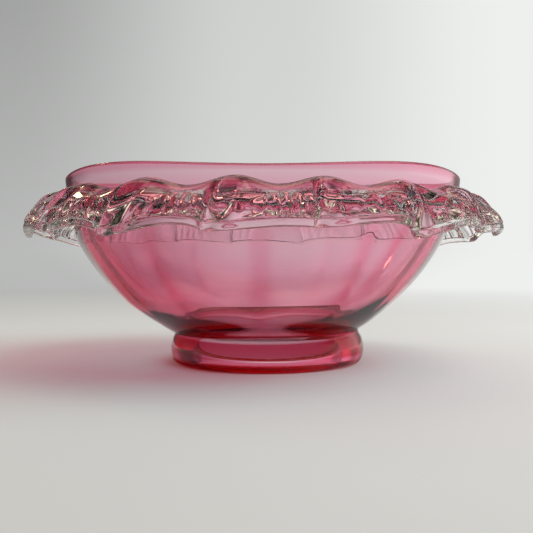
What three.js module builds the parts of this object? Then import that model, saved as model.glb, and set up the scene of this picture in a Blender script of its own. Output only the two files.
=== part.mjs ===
// Cranberry glass bowl with a crimped clear frill, in millimetres, +Z up.
// The origin is on the resting plane, under the bowl's axis. -Y is the side that faces the viewer.
import * as THREE from "three";

// Bowl
const BOWL_HEIGHT = 61.5; // mean height of the rim
const RIM_RADIUS = 65.7; // outside of the wall at the rim
const RIM_WAVE = 1.05; // how far the rim rises and falls round its mean height
const RIM_WAVES = 4;
const RIM_ROUND = 0.8; // height of the rounded edge
const RIM_REACH = 23; // how far down the wall keeps the rim's slope
const RIM_FLARE = 0.055; // outward slope of the wall at the rim
const JOIN_RADIUS = 30.5; // where the base turns up into the wall
const BELLY_REACH = 17; // how far the wall leaves the base along its first slope
const BELLY_SLOPE = 0.572;
const BASE_HEIGHT = 6.4; // underside of the base on the axis, above the table
const BASE_DISH = 3.8; // the base's edge is this much higher than its middle
const BASE_EDGE = 6.1; // width over which the base takes the wall's slope

// Gathers
const CASING_WALL = 1.7;
const CASING_BASE = 3.4;
const BASE_TAPER = 1 / 3; // the thick base has thinned to the wall this far up the wall's curve
const LINING_WALL = 0.7;
const FUSE_GAP = 0.3; // clearance between pieces that are fused on the real bowl

// Panels left by the dip mould
const PANELS = 12;
const PANEL_DEPTH = 0.8;
const PANEL_FOOT_GAP = 1.8; // plain wall over the base
const PANEL_FRILL_GAP = 2.6; // plain wall under the frill
const PANEL_FADE = 9;

// Foot ring
const FOOT_RADIUS = 32.7;
const FOOT_BULGE_HEIGHT = 5;
const FOOT_SEAT_RADIUS = 30.7; // where the ring's outside meets the bowl
const FOOT_HOLE_RADIUS = 25.6;
const REST_OUTER_RADIUS = 30;
const REST_INNER_RADIUS = 27.4;

// Frill
const LOBES = 16;
const FRILL_DROP = 6.9; // from the rim down to the middle of the trail's root
const ROOT_BAND = 4; // height of the trail where it is fused to the wall
const ROOT_RISE = 1; // the trail climbs this much at each fold
const LOBE_REACH = 15.1; // from the wall out to a lobe's lip
const LOBE_DROOP = 8.6; // from the root down to a lobe's lip
const FOLD_REACH = 12;
const FOLD_DROOP = 11.6;
const BLADE_THICKNESS = 2.6;
const LIP_THICKNESS = 3;
const BLADE_PLACES = [0.34, 0.7]; // corners of the section, as shares of the way to the lip
const LIP_PLACE = 0.9;

// Steps of the surfaces
const BOWL_STEPS = 72;
const LOBE_STEPS = 10;
const WALL_STEPS = 11;
const BASE_STEPS = 5;
const FOOT_STEPS = 6;

const joinHeight = BASE_HEIGHT + BASE_DISH;
const wallTop = BOWL_HEIGHT - RIM_ROUND;
const rootHeight = BOWL_HEIGHT - FRILL_DROP;

// Outside of the wall from the base's edge to the rim, in (radius, height).
const wallCurve = new THREE.CubicBezierCurve(
  new THREE.Vector2(JOIN_RADIUS, joinHeight),
  new THREE.Vector2(JOIN_RADIUS + BELLY_REACH, joinHeight + BELLY_REACH * BELLY_SLOPE),
  new THREE.Vector2(RIM_RADIUS - RIM_REACH * RIM_FLARE, wallTop - RIM_REACH),
  new THREE.Vector2(RIM_RADIUS, wallTop),
);

// Underside of the base from the axis to the wall's start, which it meets at the wall's slope.
const baseCurve = new THREE.CubicBezierCurve(
  new THREE.Vector2(0, BASE_HEIGHT),
  new THREE.Vector2(JOIN_RADIUS / 2, BASE_HEIGHT),
  new THREE.Vector2(JOIN_RADIUS - BASE_EDGE, joinHeight - BASE_EDGE * BELLY_SLOPE),
  new THREE.Vector2(JOIN_RADIUS, joinHeight),
);

function smooth(share) {
  const t = Math.min(Math.max(share, 0), 1);
  return t * t * (3 - 2 * t);
}

// Point of a curve, moved square to it towards the inside of the bowl.
function inward(curve, t, depth) {
  const tangent = curve.getTangent(t);
  const side = new THREE.Vector2(-tangent.y, tangent.x);
  return curve.getPoint(t).addScaledVector(side, depth);
}

// Place along a curve where its radius ("x") or height ("y") reaches a value, by halving.
function placeAt(curve, axis, value) {
  let low = 0;
  let high = 1;
  for (let i = 0; i < 40; i++) {
    const middle = (low + high) / 2;
    if (curve.getPoint(middle)[axis] < value) low = middle;
    else high = middle;
  }
  return low;
}

// Point one fusing gap outside the bowl, at a height on the wall.
function besideWall(height) {
  const point = wallCurve.getPoint(placeAt(wallCurve, "y", height));
  return new THREE.Vector2(point.x + FUSE_GAP, height);
}

// Point one fusing gap under the bowl, at a radius.
function underBowl(radius) {
  const curve = radius < JOIN_RADIUS ? baseCurve : wallCurve;
  return inward(curve, placeAt(curve, "x", radius), -FUSE_GAP);
}

// Section of a gather from the axis to the rim, moved in from the bowl's outside by one depth
// under the base and another up the wall.
function gatherSection(baseDepth, wallDepth) {
  const section = [];
  for (let i = 0; i < BASE_STEPS; i++) {
    section.push(inward(baseCurve, i / BASE_STEPS, baseDepth));
  }
  for (let i = 0; i <= WALL_STEPS; i++) {
    const t = i / WALL_STEPS;
    section.push(inward(wallCurve, t, baseDepth + (wallDepth - baseDepth) * smooth(t / BASE_TAPER)));
  }
  section[0].x = 0;
  return section;
}

// Turned shape with the mould's panels and the wave of the rim pressed into it.
function blownShape(section) {
  const shape = new THREE.LatheGeometry(section, BOWL_STEPS).rotateX(Math.PI / 2);
  const position = shape.getAttribute("position");
  const panelFoot = joinHeight + PANEL_FOOT_GAP;
  const panelTop = rootHeight - ROOT_RISE - ROOT_BAND / 2 - PANEL_FRILL_GAP;
  const waveFoot = rootHeight + ROOT_RISE + ROOT_BAND / 2;
  for (let i = 0; i < position.count; i++) {
    const [x, y, z] = [position.getX(i), position.getY(i), position.getZ(i)];
    const angle = Math.atan2(y, x);
    const radius = Math.hypot(x, y);
    const panel = smooth((z - panelFoot) / PANEL_FADE) * smooth((panelTop - z) / PANEL_FADE);
    const press = PANEL_DEPTH * panel * Math.abs(Math.sin((PANELS / 2) * angle));
    const scale = radius > 0 ? (radius - press) / radius : 1;
    const wave = RIM_WAVE * smooth((z - waveFoot) / (BOWL_HEIGHT - waveFoot));
    position.setXYZ(i, x * scale, y * scale, z - wave * Math.cos(RIM_WAVES * angle));
  }
  return shape;
}

// Outer gather: clear, open at the rim, with a rounded fire-polished edge.
function clearCasing() {
  const outside = gatherSection(0, 0);
  const inside = gatherSection(CASING_BASE, CASING_WALL).reverse();
  const edge = new THREE.Vector2(RIM_RADIUS - CASING_WALL / 2, BOWL_HEIGHT);
  return blownShape([...outside, edge, ...inside]);
}

// Inner gather: thin ruby, one fusing gap inside the casing.
function rubyLining() {
  const back = FUSE_GAP;
  const front = FUSE_GAP + LINING_WALL;
  const outside = gatherSection(CASING_BASE + back, CASING_WALL + back);
  const inside = gatherSection(CASING_BASE + front, CASING_WALL + front).reverse();
  return blownShape([...outside, ...inside]);
}

// Ring under the base: its top follows the bowl, and it rests on a flat band.
function footRing() {
  const restOuter = new THREE.Vector2(REST_OUTER_RADIUS, 0);
  const bulge = new THREE.Vector2(FOOT_RADIUS, FOOT_BULGE_HEIGHT);
  const restInner = new THREE.Vector2(REST_INNER_RADIUS, 0);
  const seatOuter = underBowl(FOOT_SEAT_RADIUS);
  const seatMiddle = underBowl((FOOT_SEAT_RADIUS + FOOT_HOLE_RADIUS) / 2);
  const seatInner = underBowl(FOOT_HOLE_RADIUS);
  const outside = new THREE.SplineCurve([restOuter, bulge, seatOuter]).getPoints(FOOT_STEPS);
  const section = [restInner, ...outside, seatMiddle, seatInner, restInner.clone()];
  return new THREE.LatheGeometry(section, BOWL_STEPS).rotateX(Math.PI / 2);
}

// Section of the frill at one angle: it leaves the wall, slopes down to a rounded lip, and is
// drawn in and down at each fold.
function frillSection(angle) {
  const swell = Math.cos(LOBES * angle);
  const between = (fold, lobe) => (fold + lobe) / 2 + ((lobe - fold) / 2) * swell;
  const middle = rootHeight - ROOT_RISE * swell;
  const start = besideWall(middle);
  const reach = between(FOLD_REACH, LOBE_REACH);
  const droop = between(FOLD_DROOP, LOBE_DROOP);
  const tip = new THREE.Vector2(start.x + reach, rootHeight - droop);
  const slope = tip.clone().sub(start).normalize();
  const side = new THREE.Vector2(-slope.y, slope.x);
  const blade = (share, rise) => start.clone().lerp(tip, share).addScaledVector(side, rise);
  return [
    besideWall(middle - ROOT_BAND / 2),
    ...BLADE_PLACES.map((share) => blade(share, -BLADE_THICKNESS / 2)),
    blade(LIP_PLACE, -LIP_THICKNESS / 2),
    tip,
    blade(LIP_PLACE, LIP_THICKNESS / 2),
    ...BLADE_PLACES.toReversed().map((share) => blade(share, BLADE_THICKNESS / 2)),
    besideWall(middle + ROOT_BAND / 2),
    start,
  ];
}

// Frill: the section carried once round the bowl and closed on itself.
function frillTrail() {
  const steps = LOBES * LOBE_STEPS;
  const corners = frillSection(0).length;
  const points = [];
  const faces = [];
  for (let i = 0; i < steps; i++) {
    const angle = (2 * Math.PI * i) / steps;
    const next = (i + 1) % steps;
    for (const corner of frillSection(angle)) {
      points.push(corner.x * Math.cos(angle), corner.x * Math.sin(angle), corner.y);
    }
    for (let j = 0; j < corners; j++) {
      const above = (j + 1) % corners;
      const [a, b] = [i * corners + j, next * corners + j];
      const [c, d] = [next * corners + above, i * corners + above];
      faces.push(a, b, c, a, c, d);
    }
  }
  const shape = new THREE.BufferGeometry();
  shape.setAttribute("position", new THREE.Float32BufferAttribute(points, 3));
  shape.setIndex(faces);
  return shape;
}

// A named piece of glass in its own colour.
function piece(name, shape, color, opacity, roughness) {
  const glass = { color, opacity, roughness, metalness: 0, transparent: true };
  const mesh = new THREE.Mesh(shape, new THREE.MeshStandardMaterial(glass));
  mesh.name = name;
  return mesh;
}

const bowl = new THREE.Group();
bowl.add(piece("clear_casing", clearCasing(), 0xeadadb, 0.35, 0.05));
bowl.add(piece("ruby_lining", rubyLining(), 0xb0234a, 0.6, 0.05));
bowl.add(piece("foot_ring", footRing(), 0xd9a8ae, 0.5, 0.05));
bowl.add(piece("frill_trail", frillTrail(), 0xf0e4e2, 0.5, 0.08));

export default bowl;
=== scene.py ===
import bmesh
import bpy
import math
import numpy as np
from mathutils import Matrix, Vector


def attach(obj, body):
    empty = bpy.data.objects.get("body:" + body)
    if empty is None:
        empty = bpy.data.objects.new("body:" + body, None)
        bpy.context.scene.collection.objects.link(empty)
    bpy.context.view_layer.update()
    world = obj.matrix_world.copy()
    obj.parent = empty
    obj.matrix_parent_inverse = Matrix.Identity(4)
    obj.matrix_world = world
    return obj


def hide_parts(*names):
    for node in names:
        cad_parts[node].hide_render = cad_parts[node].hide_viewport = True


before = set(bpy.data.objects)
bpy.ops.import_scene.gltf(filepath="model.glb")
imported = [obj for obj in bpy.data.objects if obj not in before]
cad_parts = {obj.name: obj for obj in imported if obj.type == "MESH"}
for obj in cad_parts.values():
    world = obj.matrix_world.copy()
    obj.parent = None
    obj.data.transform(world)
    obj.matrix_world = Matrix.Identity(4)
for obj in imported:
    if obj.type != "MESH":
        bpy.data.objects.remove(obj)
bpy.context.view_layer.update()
scene = bpy.context.scene


# Room
# A plain pale room with a bright ceiling behind the bowl, and with a dim strip to the left and to
# the right behind it, which draw dark lines in the glass. Four soft lamps light the bowl. Tones are
# linear brightness at a bearing: 0 degrees is straight behind the bowl, and 90 is to the right.
WALL_TONES = [
    (-180, 0.30), (-150, 0.30), (-122, 0.36), (-98, 0.42), (-72, 0.40), (-56, 0.10), (-25, 0.10),
    (-18.5, 0.49), (0, 0.68), (18, 0.87), (24, 0.35), (38, 0.3), (48, 1.05), (88, 1.05), (104, 0.6),
    (130, 0.40), (150, 0.32), (180, 0.30),
]
HIGH_WALL_TONES = [
    (-180, 0.12), (-60, 0.10), (-26, 0.10), (-18.5, 0.36), (0, 0.645), (18, 0.87), (26, 0.4), (48, 0.95),
    (88, 0.9), (120, 0.25), (150, 0.12), (180, 0.12),
]
CEILING_TONES = [
    (-180, 0.05), (-70, 0.06), (-45, 0.4), (-25, 0.8), (20, 0.85), (45, 0.6), (90, 0.55), (130, 0.12),
    (180, 0.05),
]
CEILING_SHADES_SCALE = 2.6
CEILING_SHADES_LOW = 0.40
CEILING_SHADES_HIGH = 0.60
CEILING_SHADE = 0.12  # the ceiling's darkest patches, as a share of its tone
CEILING_GLOW = 1.7  # and its brightest ones
HIGH_WALL = 0.29  # this height and the next two are sines of the angle above level
CEILING_START = 0.33
CEILING_FULL = 0.47
WALL_TINT = (0.985, 1.0, 0.985)
CEILING_TINT = (1.0, 0.92, 0.70)


def node(tree, kind, **values):
    """Adds a shader node. A value for an input goes by the input's name, any other by the attribute's."""
    made = tree.nodes.new("ShaderNode" + kind)
    for name, value in values.items():
        socket = made.inputs.get(name.replace("_", " ")) if name[0].isupper() else None
        if socket is None:
            setattr(made, name, value)
        elif isinstance(value, bpy.types.NodeSocket):
            tree.links.new(value, socket)
        else:
            socket.default_value = value
    return made


def tones_round(tree, direction, tones, tint):
    """Tinted grey that changes with the bearing of a direction: 0 degrees is straight behind the
    bowl, and 90 is to the right. Each tone is the linear brightness at its bearing."""
    part = node(tree, "SeparateXYZ", Vector=direction)
    bearing = node(tree, "Math", operation="ARCTAN2")
    tree.links.new(part.outputs["X"], bearing.inputs[0])
    tree.links.new(part.outputs["Y"], bearing.inputs[1])
    share = node(tree, "MapRange", Value=bearing.outputs["Value"], From_Min=-math.pi, From_Max=math.pi)
    ramp = node(tree, "ValToRGB", Fac=share.outputs["Result"])
    ramp.color_ramp.interpolation = "EASE"
    stops = ramp.color_ramp.elements
    for place, tone in tones[1:-1]:
        stops.new((place + 180) / 360)
    for stop, (place, tone) in zip(stops, tones):
        stop.color = (tone * tint[0], tone * tint[1], tone * tint[2], 1)
    return ramp.outputs["Color"]


room = bpy.data.worlds.new("pale_room")
room.use_nodes = True
tree = room.node_tree
tree.nodes.clear()
direction = node(tree, "TexCoord").outputs["Generated"]
rise = node(tree, "SeparateXYZ", Vector=direction).outputs["Z"]
up_wall = node(tree, "MapRange", Value=rise, From_Min=0.0, From_Max=HIGH_WALL)
up_ceiling = node(tree, "MapRange", interpolation_type="SMOOTHSTEP", Value=rise, From_Min=CEILING_START,
                  From_Max=CEILING_FULL)
wall = node(tree, "MixRGB", Fac=up_wall.outputs["Result"],
            Color1=tones_round(tree, direction, WALL_TONES, WALL_TINT),
            Color2=tones_round(tree, direction, HIGH_WALL_TONES, WALL_TINT))
patches = node(tree, "TexNoise", Vector=direction, Scale=CEILING_SHADES_SCALE, Detail=1.0)
shades = node(tree, "MapRange", interpolation_type="SMOOTHSTEP", Value=patches.outputs["Fac"],
              From_Min=CEILING_SHADES_LOW, From_Max=CEILING_SHADES_HIGH,
              To_Min=CEILING_SHADE, To_Max=CEILING_GLOW)
ceiling = node(tree, "MixRGB", blend_type="MULTIPLY", Fac=1.0,
               Color1=tones_round(tree, direction, CEILING_TONES, CEILING_TINT),
               Color2=shades.outputs["Result"])
tones = node(tree, "MixRGB", Fac=up_ceiling.outputs["Result"], Color1=wall.outputs["Color"],
             Color2=ceiling.outputs["Color"])
light = node(tree, "Background", Color=tones.outputs["Color"], Strength=1.0)
tree.links.new(light.outputs["Background"], node(tree, "OutputWorld").inputs["Surface"])
scene.world = room


def soft_panel(name, place, aim, width, height, power, colour):
    """Area lamp of a given size that stands at place and faces aim."""
    lamp = bpy.data.lights.new(name, "AREA")
    lamp.shape = "RECTANGLE"
    lamp.size = width
    lamp.size_y = height
    lamp.energy = power
    lamp.color = colour
    panel = bpy.data.objects.new(name, lamp)
    panel.location = place
    direction = Vector(aim) - Vector(place)
    panel.rotation_euler = direction.to_track_quat("-Z", "Y").to_euler()
    scene.collection.objects.link(panel)
    return panel


window = soft_panel("window_right", place=(0.60, 0.02, 0.34), aim=(0, 0, 0.03), width=0.40,
                    height=0.34, power=2.1, colour=(1, 1, 1))
card = soft_panel("top_card", place=(0.42, -0.12, 0.66), aim=(0, 0, 0.02), width=0.6,
                  height=0.5, power=3.2, colour=(1, 1, 1))
fill = soft_panel("left_fill", place=(-0.45, 0.22, 0.42), aim=(-0.05, 0, 0.02), width=0.4,
                  height=0.3, power=0.8, colour=(1, 1, 1))
soft_panel("small_bulb", place=(-0.34, 0.42, 0.42), aim=(0, 0, 0.05), width=0.05,
           height=0.05, power=0.12, colour=(1, 0.72, 0.38))

# The three large panels give light, but don't show in the glass.
for panel in (window, card, fill):
    panel.visible_glossy = False
    panel.visible_transmission = False


# Table
# A plain pale matt table under the bowl. It isn't part of the bowl. Away from the bowl it glows with
# painted light in the tones of the walls. Its far tone goes only by the bearing from the bowl's own axis.
TABLE_RADIUS = 30000  # in millimetres, as all shapes here
TABLE_GAP = 0.05  # the table lies this much below the foot, so that their faces don't share a place
TABLE_RINGS = 60
TABLE_TURNS = 96
TABLE_NEAR_FADE = 0.10  # the far tone fades in between these distances from the axis, in metres
TABLE_FAR_FADE = 0.60
# Painted light: the table's far glow by bearing, brightest behind the bowl and to its right, and darker to
# the left and in front.
TABLE_GLOW_TONES = [
    (-180, 0.32), (-150, 0.32), (-90, 0.42), (-40, 0.46), (-18.5, 0.49), (0, 0.68), (18, 0.87), (40, 0.88),
    (90, 0.7), (104, 0.58), (130, 0.40), (150, 0.34), (180, 0.32),
]


def surface_mesh(name, points, material, closed_u=False, closed_v=False):
    """Puts a grid of points [u, v] in millimetres into a mesh of quads in metres, joined up where it
    is closed, and merges the points that fall together at a pole."""
    across, along = points.shape[:2]
    index = np.arange(across * along).reshape(across, along)
    right = np.roll(index, -1, axis=0)
    above = np.roll(index, -1, axis=1)
    corner = np.roll(right, -1, axis=1)
    quads = np.stack([index, right, corner, above], axis=-1)
    quads = quads[: across if closed_u else across - 1, : along if closed_v else along - 1]
    mesh = bpy.data.meshes.new(name)
    mesh.from_pydata(points.reshape(-1, 3) / 1000, [], quads.reshape(-1, 4))
    surface = bmesh.new()
    surface.from_mesh(mesh)
    bmesh.ops.remove_doubles(surface, verts=surface.verts, dist=1e-6)
    surface.to_mesh(mesh)
    surface.free()
    mesh.polygons.foreach_set("use_smooth", np.ones(len(mesh.polygons), bool))
    mesh.materials.append(material)
    mesh.update()
    piece = bpy.data.objects.new(name, mesh)
    scene.collection.objects.link(piece)
    return piece


table_paint = bpy.data.materials.new("pale_table")
table_paint.use_nodes = True
tree = table_paint.node_tree
tree.nodes.clear()
place = node(tree, "TexCoord").outputs["Object"]
distance = node(tree, "VectorMath", operation="LENGTH", Vector=place)
grain = node(tree, "TexNoise", Vector=place, Scale=220.0, Detail=4.0)
cloud = node(tree, "TexNoise", Vector=place, Scale=7.0, Detail=2.0)
tint = node(tree, "ValToRGB", Fac=cloud.outputs["Fac"])
tint.color_ramp.elements[0].color = (0.68, 0.685, 0.69, 1)
tint.color_ramp.elements[1].color = (0.73, 0.735, 0.74, 1)
bump = node(tree, "Bump", Height=grain.outputs["Fac"], Strength=0.05, Distance=0.0002)
matt = node(tree, "BsdfPrincipled", Base_Color=tint.outputs["Color"], Roughness=0.9,
            Normal=bump.outputs["Normal"])
matt.inputs["Specular IOR Level"].default_value = 0.15
# Painted light: away from the bowl the table glows in these tones, which stand in for how the room lights
# it.
far_glow = tones_round(tree, place, TABLE_GLOW_TONES, WALL_TINT)
far = node(tree, "Emission", Color=far_glow, Strength=1.0)
fade = node(tree, "MapRange", interpolation_type="SMOOTHSTEP", Value=distance.outputs["Value"],
            From_Min=TABLE_NEAR_FADE, From_Max=TABLE_FAR_FADE)
surface = node(tree, "MixShader", Fac=fade.outputs["Result"])
tree.links.new(matt.outputs["BSDF"], surface.inputs[1])
tree.links.new(far.outputs["Emission"], surface.inputs[2])
tree.links.new(surface.outputs["Shader"], node(tree, "OutputMaterial").inputs["Surface"])

# Rings round the axis, which stand closer together near the bowl.
table_rings = TABLE_RADIUS * np.linspace(0, 1, TABLE_RINGS) ** 3
radius, turn = np.meshgrid(table_rings, np.linspace(0, 2 * math.pi, TABLE_TURNS, False))
table_points = np.stack([radius * np.cos(turn), radius * np.sin(turn), 0 * radius - TABLE_GAP], axis=-1)
table = surface_mesh("table", table_points[:, ::-1], table_paint, closed_u=True)


# Camera
# It stands 27 cm in front of the bowl's axis and 4 cm above the table, as in the photograph. Its
# place is given in the photograph's pixels, which are about a third of a millimetre at the axis.
FRAME_PIXELS = 533
PIXEL_M = 0.000343
AXIS_DISTANCE_PX = 800
EYE_HEIGHT_PX = 110
AXIS_LEFT_OF_CENTRE_PX = 3.5
EYE_ABOVE_CENTRE_PX = 16.5

lens = bpy.data.cameras.new("camera")
lens.sensor_width = 36
lens.lens = lens.sensor_width * AXIS_DISTANCE_PX / FRAME_PIXELS
camera = bpy.data.objects.new("camera", lens)
camera.location = (0, -AXIS_DISTANCE_PX * PIXEL_M, EYE_HEIGHT_PX * PIXEL_M)
pitch = math.atan2(EYE_ABOVE_CENTRE_PX, AXIS_DISTANCE_PX)
yaw = math.atan2(AXIS_LEFT_OF_CENTRE_PX, AXIS_DISTANCE_PX)
camera.rotation_euler = (math.pi / 2 - pitch, 0, -yaw)
scene.collection.objects.link(camera)
scene.camera = camera
scene.view_settings.view_transform = "Standard"

# Light crosses many faces on its way through the bowl, so it may bounce often.
scene.cycles.max_bounces = 96
scene.cycles.transmission_bounces = 96
scene.cycles.glossy_bounces = 12
scene.cycles.transparent_max_bounces = 24
scene.cycles.caustics_refractive = False
scene.cycles.caustics_reflective = False


# Clear casing
# The outer gather of clear glass. It was blown into a ribbed mould, which left twelve soft upright
# panels, then opened out, and its rim was melted round in the fire. The wall is one mass of glass.
BOWL_HEIGHT = 61.5  # mean height of the rim, in millimetres
RIM_RADIUS = 65.7  # outside of the wall at the rim
RIM_WAVE = 1.04  # how far the rim rises and falls round its mean height
RIM_WAVES = 4
RIM_REACH = 23  # how far down the wall keeps the rim's slope
RIM_FLARE = 0.055  # outward slope of the wall at the rim
RIM_ROUND = 0.8  # height of the rounded edge
JOIN_RADIUS = 30.5  # where the base turns up into the wall
BELLY_REACH = 17  # how far the wall leaves the base along its first slope
BELLY_SLOPE = 0.572
BASE_HEIGHT = 7.2  # underside of the base on the axis, above the table
BASE_DISH = 3.0  # the base's edge is this much higher than its middle
BASE_EDGE = 6.1  # width over which the base takes the wall's slope
BASE_THICKNESS = 3.6
WALL_THICKNESS = 2.7
RIM_THICKNESS = 2.1
BASE_TAPER = 1 / 3  # the base has thinned to the wall this far up the wall's curve
RIM_TAPER = 0.4  # the wall thins to the rim over this last share of its curve
PANELS = 12
PANEL_DEPTH = 0.8
PANEL_SOFTNESS = 0.12  # rounds off the rib between each two panels
PANEL_FOOT_GAP = 1.8  # plain wall over the base
PANEL_FADE = 9  # height over which the panels come in, and go out again
INNER_PANEL_SHARE = 0.4  # depth of the panels on the inside, against the outside
BELLY_SWELL = 1.2  # the belly is this much fuller than its curve
BELLY_SHIFT = 1.0  # and stands this far to the left
HAND_WAVE = 0.08
FRILL_FOOT_HEIGHT = 49  # the panels and the belly's swell end here
WAVE_FOOT_HEIGHT = 57.6  # the rim's wave starts here
CASING_TURNS = 336
BASE_STEPS = 26
BASE_STEPS_POWER = 0.8  # under 1, so the steps are a little wider at the axis
WALL_STEPS = 96
RIM_STEPS = 14
# Painted shade: casing, foot and frill take a line of colour where their surface turns away from the view,
# pale pink low on the casing and dark above.
EDGE_START = 0.68  # the line along an edge comes in between these values of Layer Weight's Facing
EDGE_FULL = 0.82
CASING_EDGE_SHADE = [((0.95, 0.80, 0.84), 0.021), ((0.15, 0.06, 0.08), 0.031)]  # colour, height in metres

join_height = BASE_HEIGHT + BASE_DISH
wall_top = BOWL_HEIGHT - RIM_ROUND
wall_handles = np.array([
    (JOIN_RADIUS, join_height),
    (JOIN_RADIUS + BELLY_REACH, join_height + BELLY_REACH * BELLY_SLOPE),
    (RIM_RADIUS - RIM_REACH * RIM_FLARE, wall_top - RIM_REACH),
    (RIM_RADIUS, wall_top),
])
base_handles = np.array([
    (0, BASE_HEIGHT),
    (JOIN_RADIUS / 2, BASE_HEIGHT),
    (JOIN_RADIUS - BASE_EDGE, join_height - BASE_EDGE * BELLY_SLOPE),
    (JOIN_RADIUS, join_height),
])


def smooth(share):
    """Step from 0 to 1 with level ends: 3 t squared less 2 t cubed."""
    t = np.clip(share, 0, 1)
    return t * t * (3 - 2 * t)


def bezier(handles, t):
    """Point on a cubic curve with four handles, and the unit vector square to it on its inner side."""
    t = np.asarray(t, float)[:, None]
    a, b, c, d = handles
    point = (1 - t) ** 3 * a + 3 * t * (1 - t) ** 2 * b + 3 * t * t * (1 - t) * c + t ** 3 * d
    slope = 3 * ((1 - t) ** 2 * (b - a) + 2 * t * (1 - t) * (c - b) + t * t * (d - c))
    side = np.stack([-slope[:, 1], slope[:, 0]], axis=-1)
    return point, side / np.linalg.norm(side, axis=1, keepdims=True)


def wall_line(share, inset=0.0, base_steps=BASE_STEPS, wall_steps=WALL_STEPS):
    """Radius and height of a line inside the wall from the axis to the rim: the outside curve moved
    square to itself by a share of the wall's thickness, less an inset in millimetres."""
    base_t = np.linspace(0, 1, base_steps, endpoint=False) ** BASE_STEPS_POWER
    base, base_side = bezier(base_handles, base_t)
    t = np.linspace(0, 1, wall_steps)
    wall, wall_side = bezier(wall_handles, t)
    thickness = BASE_THICKNESS + (WALL_THICKNESS - BASE_THICKNESS) * smooth(t / BASE_TAPER)
    thickness = thickness - (WALL_THICKNESS - RIM_THICKNESS) * smooth((t - 1 + RIM_TAPER) / RIM_TAPER)
    thickness = np.concatenate([np.full(base_steps, BASE_THICKNESS), thickness])
    depth = (thickness * share - inset)[:, None]
    line = np.concatenate([base, wall]) + depth * np.concatenate([base_side, wall_side])
    line[0, 0] = 0
    return line


def rounded_top(outer, inner, rise, steps):
    """Half an ellipse from the top of an outer line to the top of an inner one. It rises above the
    outer one by the height of rise."""
    turn = np.linspace(0, math.pi, steps)[1:-1, None]
    middle = (outer[-1] + inner[-1]) / 2
    half = (outer[-1] - inner[-1]) / 2
    peak = np.array([0, outer[-1, 1] + rise - middle[1]])
    return middle + half * np.cos(turn) + peak * np.sin(turn)


def blown(line, panel_depth, turns, thicker=0.0):
    """Carries a line round the axis. The panels press it in by the size of a sine with six waves a
    turn, and the belly swells and stands a little to the left. The hand that blew it leaves slow
    waves, a sine of three a turn and one of five, which drift round with the height. The rim rises
    and falls by a cosine of four a turn. Thicker moves single points out."""
    turn = np.linspace(0, 2 * math.pi, turns, False)[:, None]
    radius = line[None, :, 0]
    height = line[None, :, 1]
    panel = smooth((height - join_height - PANEL_FOOT_GAP) / PANEL_FADE)
    panel = panel * smooth((FRILL_FOOT_HEIGHT - height) / PANEL_FADE)
    swing = np.sqrt(np.sin(PANELS / 2 * turn) ** 2 + PANEL_SOFTNESS ** 2)
    slow = np.sin(3 * turn + height / 9) + np.sin(5 * turn - height / 6 + 1.3)
    press = panel * (panel_depth * (swing - PANEL_SOFTNESS) + HAND_WAVE * slow - BELLY_SWELL)
    reach = np.maximum(radius - press + thicker, 0)
    wave = RIM_WAVE * smooth((height - WAVE_FOOT_HEIGHT) / (BOWL_HEIGHT - WAVE_FOOT_HEIGHT))
    lift = height - wave * np.cos(RIM_WAVES * turn)
    x = reach * np.cos(turn) - BELLY_SHIFT * panel
    return np.stack([x, reach * np.sin(turn), lift + 0 * reach], axis=-1)


def glass(name, clear, clouded, edge, painted_root_tint, ripple_scale, ripple, let_through):
    """Clear glass: two near tints in soft clouds, a faint ripple left by the tools, a line of painted
    shade where the surface turns away from the view, and lamps that shine through it on the table.
    Edge gives the painted line's colour at a low height and at a high one, and over the same heights
    the glass takes up the painted root tint, which stands in for a colour seen through the glass."""
    material = bpy.data.materials.new(name)
    material.use_nodes = True
    tree = material.node_tree
    tree.nodes.clear()
    place = node(tree, "TexCoord").outputs["Object"]
    cloud = node(tree, "TexNoise", Vector=place, Scale=35.0, Detail=2.0)
    tint = node(tree, "ValToRGB", Fac=cloud.outputs["Fac"])
    tint.color_ramp.elements[0].color = (*clear, 1)
    tint.color_ramp.elements[1].color = (*clouded, 1)
    waviness = node(tree, "TexNoise", Vector=place, Scale=ripple_scale, Detail=1.0)
    bump = node(tree, "Bump", Height=waviness.outputs["Fac"], Strength=ripple, Distance=0.0006)
    # Painted shade: a line of colour where the surface turns away from the view.
    facing = node(tree, "LayerWeight", Blend=0.5).outputs["Facing"]
    turned_away = node(tree, "MapRange", interpolation_type="SMOOTHSTEP", Value=facing,
                       From_Min=EDGE_START, From_Max=EDGE_FULL)
    height = node(tree, "SeparateXYZ", Vector=place).outputs["Z"]
    (low_colour, low_height), (high_colour, high_height) = edge
    upward = node(tree, "MapRange", interpolation_type="SMOOTHSTEP", Value=height, From_Min=low_height,
                  From_Max=high_height)
    line = node(tree, "MixRGB", Fac=upward.outputs["Result"], Color1=(*low_colour, 1),
                Color2=(*high_colour, 1))
    # The root tint is painted over the heights of the line: on the frill a pink that stands in for the ruby
    # wall seen through its root.
    rooted = node(tree, "MixRGB", blend_type="MULTIPLY", Fac=upward.outputs["Result"],
                  Color1=tint.outputs["Color"], Color2=(*painted_root_tint, 1))
    edge_shaded = node(tree, "MixRGB", Fac=turned_away.outputs["Result"], Color1=rooted.outputs["Color"],
                 Color2=line.outputs["Color"])
    body = node(tree, "BsdfPrincipled", Base_Color=edge_shaded.outputs["Color"], Roughness=0.0, IOR=1.5,
                Transmission_Weight=1.0, Normal=bump.outputs["Normal"])
    lamp_ray = node(tree, "LightPath").outputs["Is Shadow Ray"]
    shine = node(tree, "BsdfTransparent", Color=(let_through, let_through, let_through, 1))
    surface = node(tree, "MixShader", Fac=lamp_ray)
    tree.links.new(body.outputs["BSDF"], surface.inputs[1])
    tree.links.new(shine.outputs["BSDF"], surface.inputs[2])
    tree.links.new(surface.outputs["Shader"], node(tree, "OutputMaterial").inputs["Surface"])
    return material


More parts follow.
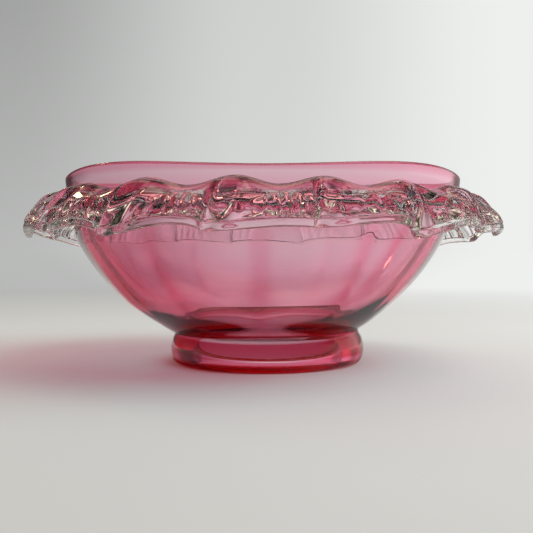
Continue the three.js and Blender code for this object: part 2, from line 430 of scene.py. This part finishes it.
casing_glass = glass("clear_casing_glass", clear=(0.99, 0.985, 0.985), clouded=(1, 1, 1), edge=CASING_EDGE_SHADE,
                     painted_root_tint=(1, 1, 1), ripple_scale=55.0, ripple=0.1, let_through=0.985)
outer_line = wall_line(0)
inner_line = wall_line(1)
casing_points = np.concatenate([
    blown(outer_line, PANEL_DEPTH, CASING_TURNS),
    blown(rounded_top(outer_line, inner_line, RIM_ROUND, RIM_STEPS), PANEL_DEPTH, CASING_TURNS),
    blown(inner_line[::-1], PANEL_DEPTH * INNER_PANEL_SHARE, CASING_TURNS),
], axis=1)
casing = surface_mesh("clear_casing_wall", casing_points, casing_glass, closed_u=True)
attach(casing, "root")
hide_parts("clear_casing")


# Ruby lining
# The inner gather, a thin layer of gold-ruby glass that was cased before the bubble was blown. It
# is melted into the clear glass on both sides, so light isn't bent where it enters it.
LINING_FRONT = 0.15  # depth of the layer's inner side behind the inside of the wall
LINING_BACK = 0.80  # and of its outer side, where nothing makes it thicker
LINING_TOP_RISE = 0.5
LINING_MOST = 1.7  # the layer grows thicker by no more than this
AXIS_FADE = 8  # and within this radius it fades to nothing at the axis
LINING_SIDE_BULGE = 0.72  # how much thicker it is at the two sides
LINING_LEFT_BULGE = 0.38  # the left side has this much more, and the right side this much less
LOW_THICKER = 0.50
LOW_START = 38  # the low part's thickness comes in from here down
LOW_FADE = 16
LOW_END = 9  # and has gone again here
LOW_END_FADE = 6
TRAIL_THICKER = 0.95
TRAIL_MIDDLE = 53
TRAIL_SPREAD = 5.2
RIM_THICKER = 0.95
RIM_THICKER_DEPTH = 2.6  # it starts this far below the rim
RIM_THICKER_FADE = 1.6
RIB_THICKER = 0.6
RIB_WIDTH = 0.045  # in radians
RIB_LINE_SIZES = [0.5, 0.6, 0.4, 0.6, 0.5, 0.7, 0.5, 1.3, 1.0, 0.5, 1.3, 0.9]  # from the right, by the back
RIB_END_HEIGHT = 17.5
RIB_END_REACH = 5.5
RIB_END_WIDTH = 0.13  # in radians
RIB_END_SIZES = [0.5, 0.8, 0.3, 0.9, 0.4, 0.7, 0.3, 0.8, 1.5, 0.2, 1.1, 0.6]
STREAKS = [(-54, 46, -42, 22, 1.0), (43, 47, 36, 22, 1.0), (-34, 44, -29, 24, 0.4)]
STREAK_WIDTH = 2.4  # in degrees
STREAK_FADE = 5  # the streaks fade in and out over this height
LINING_TURNS = 432
LINING_BASE_STEPS = 20
LINING_WALL_STEPS = 72
LINING_TOP_STEPS = 8
RUBY_DENSITY = 760  # how strongly a metre of it absorbs
RUBY_PASSES = (0.94, 0.35, 0.56, 1)


def ruby(name, density):
    """Gold-ruby glass: it soaks up green and blue on the way through, and has two near tints in soft
    clouds. It bends no light, because it lies inside clear glass."""
    material = bpy.data.materials.new(name)
    material.use_nodes = True
    tree = material.node_tree
    tree.nodes.clear()
    place = node(tree, "TexCoord").outputs["Object"]
    cloud = node(tree, "TexNoise", Vector=place, Scale=30.0, Detail=2.0)
    tint = node(tree, "ValToRGB", Fac=cloud.outputs["Fac"])
    tint.color_ramp.elements[0].color = (1, 0.97, 0.975, 1)
    tint.color_ramp.elements[1].color = (1, 1, 1, 1)
    body = node(tree, "BsdfPrincipled", Base_Color=tint.outputs["Color"], Roughness=0.0, IOR=1.0,
                Transmission_Weight=1.0)
    lamp_ray = node(tree, "LightPath").outputs["Is Shadow Ray"]
    surface = node(tree, "MixShader", Fac=lamp_ray)
    tree.links.new(body.outputs["BSDF"], surface.inputs[1])
    tree.links.new(node(tree, "BsdfTransparent").outputs["BSDF"], surface.inputs[2])
    colour = node(tree, "VolumeAbsorption", Color=RUBY_PASSES, Density=density)
    output = node(tree, "OutputMaterial")
    tree.links.new(surface.outputs["Shader"], output.inputs["Surface"])
    tree.links.new(colour.outputs["Volume"], output.inputs["Volume"])
    return material


def ruby_streaks(turn, height):
    """Thickness of the streaks of thicker ruby, darker lines in the wall. Each is a bell curve across a
    slanting line, with the bearing and height of its upper end, those of its lower end and its size.
    Bearings are degrees from the front of the bowl to the right."""
    bearing = (np.degrees(turn) + 270) % 360 - 180
    total = 0
    for high_bearing, high, low_bearing, low, size in STREAKS:
        share = np.clip((high - height) / (high - low), 0, 1)
        off_line = bearing - high_bearing - share * (low_bearing - high_bearing)
        ends = smooth((high - height) / STREAK_FADE) * smooth((height - low) / STREAK_FADE)
        total = total + size * ends * np.exp(-(off_line / STREAK_WIDTH) ** 2)
    return total


def ruby_thicker(line, turns):
    """How much further out the ruby layer reaches at each point of a line carried round the axis: at
    the sides and most on the left, low down, on the mould's ribs, in a pool at the lower end of
    each rib, in streaks, under the trail and at the rim. It fades to nothing at the axis."""
    turn = np.linspace(0, 2 * math.pi, turns, False)[:, None]
    height = line[None, :, 1]
    from_rib = np.arcsin(np.abs(np.sin(PANELS / 2 * turn))) / (PANELS / 2)
    rib = np.round(turn * PANELS / (2 * math.pi)).astype(int) % PANELS
    side = smooth((height - join_height) / PANEL_FADE) * smooth((FRILL_FOOT_HEIGHT - height) / PANEL_FADE)
    pool = np.exp(-((height - RIB_END_HEIGHT) / RIB_END_REACH) ** 2 - (from_rib / RIB_END_WIDTH) ** 2)
    on_rib = RIB_THICKER * np.array(RIB_LINE_SIZES)[rib] * np.exp(-(from_rib / RIB_WIDTH) ** 2)
    on_trail = TRAIL_THICKER * np.exp(-((height - TRAIL_MIDDLE) / TRAIL_SPREAD) ** 2)
    on_rim = RIM_THICKER * smooth((height - BOWL_HEIGHT + RIM_THICKER_DEPTH) / RIM_THICKER_FADE)
    on_side = side * (LINING_SIDE_BULGE * np.cos(turn) ** 2 - LINING_LEFT_BULGE * np.cos(turn) + on_rib)
    low = LOW_THICKER * smooth((LOW_START - height) / LOW_FADE) * smooth((height - LOW_END) / LOW_END_FADE)
    total = on_side + low + np.array(RIB_END_SIZES)[rib] * pool + on_trail + on_rim
    total = total + ruby_streaks(turn, height)
    return np.minimum(total, LINING_MOST) * smooth(line[None, :, 0] / AXIS_FADE)


lining_back = wall_line(1, LINING_BACK, LINING_BASE_STEPS, LINING_WALL_STEPS)
lining_front = wall_line(1, LINING_FRONT, LINING_BASE_STEPS, LINING_WALL_STEPS)
lining_top = rounded_top(lining_back, lining_front, LINING_TOP_RISE, LINING_TOP_STEPS)
lining_top_share = (lining_top[:, 0] - lining_front[-1, 0]) / (lining_back[-1, 0] - lining_front[-1, 0])
inner_panels = PANEL_DEPTH * INNER_PANEL_SHARE
lining_points = np.concatenate([
    blown(lining_back, inner_panels, LINING_TURNS, ruby_thicker(lining_back, LINING_TURNS)),
    blown(lining_top, inner_panels, LINING_TURNS, RIM_THICKER * lining_top_share),
    blown(lining_front[::-1], inner_panels, LINING_TURNS),
], axis=1)
lining_glass = ruby("gold_ruby_glass", RUBY_DENSITY)
lining = surface_mesh("ruby_lining_layer", lining_points, lining_glass, closed_u=True)
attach(lining, "root")
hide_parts("ruby_lining")


# Foot ring
# A ring of cased glass that was put on under the base while hot, rounded with the tools, and made
# flat where it stands. A thick clear skin covers a ruby core and a thin ruby thread low down.
FOOT_RADIUS = 32.6
FOOT_TOP_RADIUS = 30.9
FOOT_HOLE_RADIUS = 25.6
REST_OUTER_RADIUS = 30
REST_INNER_RADIUS = 27.4
FOOT_SINK = 0.3  # the ring's top is melted this far into the base
FOOT_SHIFT = 1.5  # the ring stands this far to the right of the bowl's axis
FOOT_BULGE = 1.0  # the handles of the outer curve stand this far outside the foot's radius
FOOT_LOW_HANDLE = 0.2  # at these heights
FOOT_HIGH_HANDLE = 7.4
HOLE_BULGE = 0.1  # the inner curve's upper handle stands this far inside the hole's radius
HOLE_HANDLE = 3.5
REST_BULGE = 1.1  # and its lower one this far inside the resting edge
REST_HANDLE = 0.3
FOOT_TURNS = 288
FOOT_OUTER_STEPS = 34
FOOT_SEAT_STEPS = 12
FOOT_INNER_STEPS = 18
CURVE_SAMPLES = 400
# Painted shade: the dark red line where the foot's surface turns away from the view.
FOOT_EDGE_SHADE = [((0.30, 0.10, 0.12), 0.002), ((0.17, 0.08, 0.09), 0.006)]
RING_MIDDLE_HEIGHT = 4.6  # the ruby's outlines are drawn in toward this height
CORE_SHIFT = 0.7  # how far the core's axis stands to the right of the bowl's
CORE_SKIN = 1.3  # clear glass round the core
CORE_BOTTOM = 3.5  # height above the table
CORE_TOP = 9.0
CORE_DENSITY = 620
THREAD_SHIFT = 1.4
THREAD_SKIN = 0.7
THREAD_BOTTOM = 0.4
THREAD_TOP = 2.5
THREAD_DENSITY = 3000


def underside(radius):
    """Height of the bowl's underside at a radius, read off its base and wall curves."""
    t = np.linspace(0, 1, CURVE_SAMPLES)
    line = np.concatenate([bezier(base_handles, t)[0], bezier(wall_handles, t)[0][1:]])
    return np.interp(radius, line[:, 0], line[:, 1])


def ring(outline, shift, top_points, sink):
    """Carries an outline round an axis that stands a little to the right of the bowl's. Its top
    points lie on the bowl's underside, sunk into it by an amount."""
    turn = np.linspace(0, 2 * math.pi, FOOT_TURNS, False)[:, None]
    x = outline[None, :, 0] * np.cos(turn) + shift
    y = outline[None, :, 0] * np.sin(turn)
    z = outline[None, :, 1] + 0 * turn
    bowl = underside(np.hypot(x, y)) + sink
    return np.stack([x, y, np.where(top_points[None], bowl, z)], axis=-1)


foot_outer = bezier(np.array([
    (REST_OUTER_RADIUS, 0),
    (FOOT_RADIUS + FOOT_BULGE, FOOT_LOW_HANDLE),
    (FOOT_RADIUS + FOOT_BULGE, FOOT_HIGH_HANDLE),
    (FOOT_TOP_RADIUS, underside(FOOT_TOP_RADIUS)),
]), np.linspace(0, 1, FOOT_OUTER_STEPS))[0]
seat_radius = np.linspace(FOOT_TOP_RADIUS, FOOT_HOLE_RADIUS, FOOT_SEAT_STEPS)[1:]
foot_seat = np.stack([seat_radius, underside(seat_radius)], axis=-1)
foot_inner = bezier(np.array([
    foot_seat[-1],
    (FOOT_HOLE_RADIUS - HOLE_BULGE, HOLE_HANDLE),
    (REST_INNER_RADIUS - REST_BULGE, REST_HANDLE),
    (REST_INNER_RADIUS, 0),
]), np.linspace(0, 1, FOOT_INNER_STEPS))[0][1:]
foot_line = np.concatenate([foot_outer, foot_seat, foot_inner])
on_bowl = np.zeros(len(foot_line), bool)
on_bowl[len(foot_outer) - 1 : len(foot_outer) + len(foot_seat)] = True
foot_points = ring(foot_line, FOOT_SHIFT, on_bowl, FOOT_SINK)
foot_glass = glass("foot_ring_glass", clear=(0.985, 0.975, 0.97), clouded=(1, 0.995, 0.99), edge=FOOT_EDGE_SHADE,
                   painted_root_tint=(1, 1, 1), ripple_scale=70.0, ripple=0.12, let_through=0.97)
foot = surface_mesh("foot_ring_tooled", foot_points, foot_glass, closed_u=True, closed_v=True)
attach(foot, "root")
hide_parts("foot_ring")

ring_middle = np.array([(FOOT_RADIUS + FOOT_HOLE_RADIUS) / 2, RING_MIDDLE_HEIGHT])
toward_skin = foot_line - ring_middle
skin_distance = np.linalg.norm(toward_skin, axis=1, keepdims=True)
no_top = np.zeros(len(foot_line), bool)


def ruby_part(name, shift, skin, bottom, top, ruby_glass):
    """Ruby inside the ring: the foot's outline drawn in by the thickness of a clear skin, with its
    heights scaled to lie between two heights."""
    line = ring_middle + toward_skin * (1 - skin / skin_distance)
    lowest = line[:, 1].min()
    line[:, 1] = bottom + (line[:, 1] - lowest) * (top - bottom) / (line[:, 1].max() - lowest)
    part = surface_mesh(name, ring(line, shift, no_top, 0), ruby_glass, closed_u=True, closed_v=True)
    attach(part, "root")
    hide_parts("foot_ring")


core_glass = ruby("ruby_core_glass", CORE_DENSITY)
thread_glass = ruby("ruby_thread_glass", THREAD_DENSITY)
ruby_part("foot_ring_ruby_core", CORE_SHIFT, CORE_SKIN, CORE_BOTTOM, CORE_TOP, core_glass)
ruby_part("foot_ring_ruby_thread", THREAD_SHIFT, THREAD_SKIN, THREAD_BOTTOM, THREAD_TOP, thread_glass)


# Frill
# One thick trail of clear glass wound round the wall under the rim, with its root melted on the wall.
# It was pulled out and pinched with a ribbed tool into sixteen lobes like shells, which bulge out and
# then hang down. Between each two the trail is left smooth, and steps back behind the next lobe.
LOBES = 16
STEPS_PER_LOBE = 88
UPPER_STEPS = 36
LOWER_STEPS = 18
LIP_STEPS = 12
SEED = 11
FRONT_FOLDS = [-28.9, -6.3, 14.6, 35.7]  # bearings in degrees from the front to the right
FRONT_FOLD_LIPS = [41.3, 42.3, 43.2, 40.7]  # heights of the lip at those folds
FRONT_LOBE_LIPS = [44.1, 43.4, 44.6, 44.4]  # and at the lobes to their right
FOLD_STRAY = 1.0  # the other folds stray up to this many degrees from even places
SIDE_LOBE_LIP = 44.0
SIDE_LOBE_STRAY = (-0.5, 0.9)
SIDE_FOLD_LIP = 42.4
SIDE_FOLD_STRAY = (-1.2, 0.8)
BACK_SAG = 4.6  # the lobes at the back hang lower by this
BACK_SAG_START = 85
BACK_SAG_WIDTH = 40
ROOT_TOP = 56.3  # height of the trail's top edge
ROOT_RISE = 1.15  # it climbs at the folds by this, times one of the shares
ROOT_RISE_SHARES = (0.85, 1.1)
ROOT_BAND = 6.6  # height of the trail where it is melted to the wall
ROOT_SHARE = 0.3  # within this share of the section the trail leaves the wall's slope
LOBE_REACH = 14.2  # from the wall out to the lip
LOBE_FULLNESS = 0.7  # power of the lobes' curve, under 1 for lobes fuller than a cosine
FOLD_REACH = 12.4
REACH_WAVE = 0.25
REACH_RIPPLE = 0.2
LIP_DEPTH = 2.0
LIP_HEIGHT = 2.4
LIP_SQUARENESS = 3.4
LIP_TOP_TURN = 55  # the lip's rounding starts and ends at these degrees from level
LIP_BACK_TURN = -165
LIP_BACK_SHARE = 0.35  # the lower side meets the lip this share of its height above its foot
LIP_FOLD_SHARE = 0.35  # the lip takes up this much of the folds
UPPER_SINK = 0.3  # the handles of the section's two curves, from the wall, the root or the lip
UPPER_LEVEL = 4.2
UPPER_DIP = 0.8
UPPER_FALL_SHARE = 0.3
SHOULDER_REACH = 2.6
SHOULDER_INSET = 0.3
SHOULDER_SHARE = 0.93
LOWER_SINK = 0.6
LOWER_LEVEL = 4.6
LOWER_RISE = 0.6
LOWER_BEND = 0.9
LOWER_BEND_RISE = 4.6
RIDGE_HEIGHT = 1.2  # places and widths of the folds are shares of a lobe
RIDGE_WIDTH = 0.058
GROOVE_DEPTH = 2.6
GROOVE_PLACE = -0.11
GROOVE_WIDTH = 0.036
HOLLOW_DEPTH = 1.0
HOLLOW_PLACE = 0.125
HOLLOW_WIDTH = 0.045
FOLD_SIZES = (0.85, 1.15)
FOLD_START = 0.12  # the folds come in from this share of the section
FOLD_FADE = 0.4
FOLD_LEAN = 3.8  # degrees that a fold leans from its root to the lip
FOLD_LEAN_WIDTH = 0.2
POCKET_TOP = 0.50  # places in the pockets are shares of the section and of a lobe
POCKET_TOP_FADE = 0.08
POCKET_ARCH = 0.22
POCKET_HALF_WIDTH = 0.34
POCKET_SPREAD = 0.22
POCKET_SIDE_FADE = 0.12
POCKET_SINK = 0.6
RIB_HEIGHT = 0.95
RIBS_IN_HALF = (1.9, 2.5)  # ribs between the middle of a pocket and its side
MARK_SHIFTS = (0, 3)  # in radians
MARK_WAVE = 0.5
MARK_RIPPLE = 0.4
CROSS_RIDGE = 0.42
CROSS_RIDGE_TURNS = 7.5
CROSS_RIDGE_BOW = 1.8
CROSS_RIDGE_WEAVE = 0.8
CROSS_RIDGE_LEAST = 0.4  # share of a cross ridge that is left between the ribs
SIDE_MARK_SHARE = 0.5  # how strong the tool's mark is at the sides, against the front
SIDE_START = 48
SIDE_WIDTH = 16
BACK_MARK_SHARE = 0.28  # and at the back
BACK_SOFTER = 0.85  # the folds lose this share of their size there
BACK_START = 105
BACK_WIDTH = 20
# Painted shade: the line where the frill's surface turns away from the view, olive black low down and
# crimson higher up.
FRILL_EDGE_SHADE = [((0.10, 0.09, 0.06), 0.0500), ((0.42, 0.03, 0.10), 0.0530)]
# Painted colour of the ruby wall seen through the trail's root, taken up over the frill's line heights.
FRILL_ROOT_PAINTED_TINT = (0.90, 0.56, 0.70)

rng = np.random.default_rng(SEED)
last = FRONT_FOLDS[0] + 360
spare = LOBES - len(FRONT_FOLDS)
rest = np.linspace(FRONT_FOLDS[-1], last, spare + 2)[1:-1]
rest = rest + rng.uniform(-FOLD_STRAY, FOLD_STRAY, spare)
folds = np.array([*FRONT_FOLDS, *rest, last])
step = np.arange(LOBES * STEPS_PER_LOBE)
lobe = step // STEPS_PER_LOBE
along = (step % STEPS_PER_LOBE) / STEPS_PER_LOBE
fold = np.where(along < 0.5, lobe, (lobe + 1) % LOBES)
off_fold = np.where(along < 0.5, along, along - 1)
width = folds[lobe + 1] - folds[lobe]
bearing = folds[lobe] + width * along


def by_lobe(limits):
    """One seeded value for each lobe or fold, at random between two limits."""
    return rng.uniform(*limits, LOBES)


def cubic(a, b, c, d, t):
    """Places t on a cubic curve with four handles, one row for each step along the trail."""
    a, b, c, d = (np.broadcast_to(v, bearing.shape)[:, None] for v in (a, b, c, d))
    return (1 - t) ** 3 * a + 3 * t * (1 - t) ** 2 * b + 3 * t * t * (1 - t) * c + t ** 3 * d


arch = np.cos(2 * math.pi * along)
bell = ((1 - arch) / 2) ** LOBE_FULLNESS
slow = REACH_WAVE * np.sin(math.radians(3) * bearing + 0.7)
slow = slow + REACH_RIPPLE * np.sin(math.radians(5) * bearing + 2.1)
fold_lips = np.full(LOBES, SIDE_FOLD_LIP) + by_lobe(SIDE_FOLD_STRAY)
lobe_lips = np.full(LOBES, SIDE_LOBE_LIP) + by_lobe(SIDE_LOBE_STRAY)
fold_lips[: len(FRONT_FOLD_LIPS)] = FRONT_FOLD_LIPS
lobe_lips[: len(FRONT_LOBE_LIPS)] = FRONT_LOBE_LIPS
from_front = np.abs((bearing + 180) % 360 - 180)
sag = BACK_SAG * smooth((from_front - BACK_SAG_START) / BACK_SAG_WIDTH)
root_top = ROOT_TOP + ROOT_RISE * arch * by_lobe(ROOT_RISE_SHARES)[fold]
reach = FOLD_REACH + (LOBE_REACH - FOLD_REACH) * bell + slow
drop = root_top - (fold_lips[fold] + (lobe_lips[lobe] - fold_lips[fold]) * bell - sag)

# The section, as steps out from the wall and down from the trail's top edge. Its upper side leaves
# the wall nearly level and rounds over; its lower side runs under it and turns down at the lip.
s = np.linspace(0, 1, UPPER_STEPS)[None, :]
below = np.linspace(0, 1, LOWER_STEPS)[None, :]
shoulder = drop - LIP_HEIGHT * SHOULDER_SHARE
lip_back = drop - LIP_BACK_SHARE * LIP_HEIGHT
upper_out = cubic(-UPPER_SINK, UPPER_LEVEL, reach - SHOULDER_REACH, reach - SHOULDER_INSET, s)
upper_down = cubic(0, UPPER_DIP, UPPER_FALL_SHARE * drop, shoulder, s)
lower_out = cubic(-LOWER_SINK, LOWER_LEVEL, reach - LIP_DEPTH - LOWER_BEND, reach - LIP_DEPTH, below)
lower_down = cubic(ROOT_BAND, ROOT_BAND - LOWER_RISE, drop - LOWER_BEND_RISE, lip_back, below)


def hump(place, width):
    """Bell curve along the trail, centred at a place beside each fold."""
    return np.exp(-((off_fold - place) / width) ** 2)


# The folds: a smooth ribbon, with a deep slit to its left and a shallow hollow to its right.
sizes = by_lobe(FOLD_SIZES)[fold]
pleat = RIDGE_HEIGHT * hump(0, RIDGE_WIDTH) - GROOVE_DEPTH * sizes * hump(GROOVE_PLACE, GROOVE_WIDTH)
pleat = pleat - HOLLOW_DEPTH * sizes * hump(HOLLOW_PLACE, HOLLOW_WIDTH)
pleat = pleat * (1 - BACK_SOFTER * smooth((from_front - BACK_START) / BACK_WIDTH))
near_fold = hump(0, FOLD_LEAN_WIDTH)


def pocket_share(s):
    """Place across the pocket, from -1 to 1 between its sides, and how much of the mark is there. The
    pocket's top is an arch below the trail's top edge, and it gets wider to the lip."""
    fan = (along - 0.5)[:, None] / (POCKET_HALF_WIDTH + POCKET_SPREAD * (s - 1))
    top = POCKET_TOP + POCKET_ARCH * fan ** 2
    inside = smooth((1 - np.abs(fan)) / POCKET_SIDE_FADE) * smooth((s - top) / POCKET_TOP_FADE)
    return fan, inside * (s < 1)


# The tool's mark: ribs that fan out from the top of the lobe, with ridges across them. Both are the
# sizes of sines, and a slow wave and a ripple make them uneven. The ridges bow down to the pocket's
# middle and weave from rib to rib.
fan, pocket = pocket_share(s)
ribs = by_lobe(RIBS_IN_HALF)[lobe][:, None]
shift = by_lobe(MARK_SHIFTS)[lobe][:, None]
calm = smooth((from_front - SIDE_START) / SIDE_WIDTH)[:, None]
uneven = MARK_WAVE * np.sin(2.3 * fan + 4 * s + shift) + MARK_RIPPLE * np.sin(5.1 * fan - 7 * s)
flute = np.abs(np.sin(math.pi * ribs * fan + shift + uneven))
weave = CROSS_RIDGE_WEAVE * np.sin(2 * math.pi * ribs * fan)
ridge = np.abs(np.sin(CROSS_RIDGE_TURNS * s + CROSS_RIDGE_BOW * fan ** 2 + weave + shift + uneven))
ridge_height = CROSS_RIDGE * ridge * (CROSS_RIDGE_LEAST + flute)
mark = pocket * (RIB_HEIGHT * flute + ridge_height - POCKET_SINK)
far_side = smooth((from_front - BACK_START) / BACK_WIDTH)[:, None]
mark = mark * (1 - (1 - SIDE_MARK_SHARE) * calm - (SIDE_MARK_SHARE - BACK_MARK_SHARE) * far_side)


def moved_square(out, down, amount):
    """Moves each point of a section square to its line, away from the bowl for a positive amount."""
    slope_out = np.gradient(out, axis=1)
    slope_down = np.gradient(down, axis=1)
    length = np.hypot(slope_out, slope_down)
    return out + amount * slope_down / length, down - amount * slope_out / length


pleat_share = smooth((s - FOLD_START) / FOLD_FADE)
upper_out, upper_down = moved_square(upper_out, upper_down, mark + pleat[:, None] * pleat_share)
turn = math.radians(1) * np.linspace(LIP_TOP_TURN, LIP_BACK_TURN, LIP_STEPS)[None, :]
power = 2 / LIP_SQUARENESS
lip_x = np.sign(np.cos(turn)) * np.abs(np.cos(turn)) ** power * LIP_DEPTH / 2
lip_y = np.sign(np.sin(turn)) * np.abs(np.sin(turn)) ** power * LIP_HEIGHT / 2
fold_pull = (LIP_FOLD_SHARE * pleat)[:, None] * smooth((np.sin(turn) + 1) / 2)
lip_out = (reach - LIP_DEPTH / 2)[:, None] + lip_x + fold_pull
lip_down = (drop - LIP_HEIGHT / 2)[:, None] - lip_y
out = np.concatenate([lower_out, lip_out[:, ::-1], upper_out[:, ::-1]], axis=1)
down = np.concatenate([lower_down, lip_down[:, ::-1], upper_down[:, ::-1]], axis=1)
share = np.concatenate([below, 0 * turn + 1, s[:, ::-1]], axis=1)

wall_samples = bezier(wall_handles, np.linspace(0, 1, CURVE_SAMPLES))[0]
height = root_top[:, None] - down
wall_radius = np.interp(height, wall_samples[:, 1], wall_samples[:, 0])
top_radius = np.interp(root_top, wall_samples[:, 1], wall_samples[:, 0])[:, None]
radius = wall_radius + (top_radius - wall_radius) * smooth(share / ROOT_SHARE) + out
angle = math.radians(1) * (bearing[:, None] - (FOLD_LEAN * near_fold)[:, None] * share)
frill_points = np.stack([radius * np.sin(angle), -radius * np.cos(angle), height], axis=-1)
frill_glass = glass("frill_trail_glass", clear=(0.985, 0.98, 0.965), clouded=(1, 1, 1), edge=FRILL_EDGE_SHADE,
                    painted_root_tint=FRILL_ROOT_PAINTED_TINT, ripple_scale=90.0, ripple=0.03, let_through=0.97)
frill = surface_mesh("frill_trail_crimped", frill_points, frill_glass, closed_u=True, closed_v=True)
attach(frill, "root")
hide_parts("frill_trail")
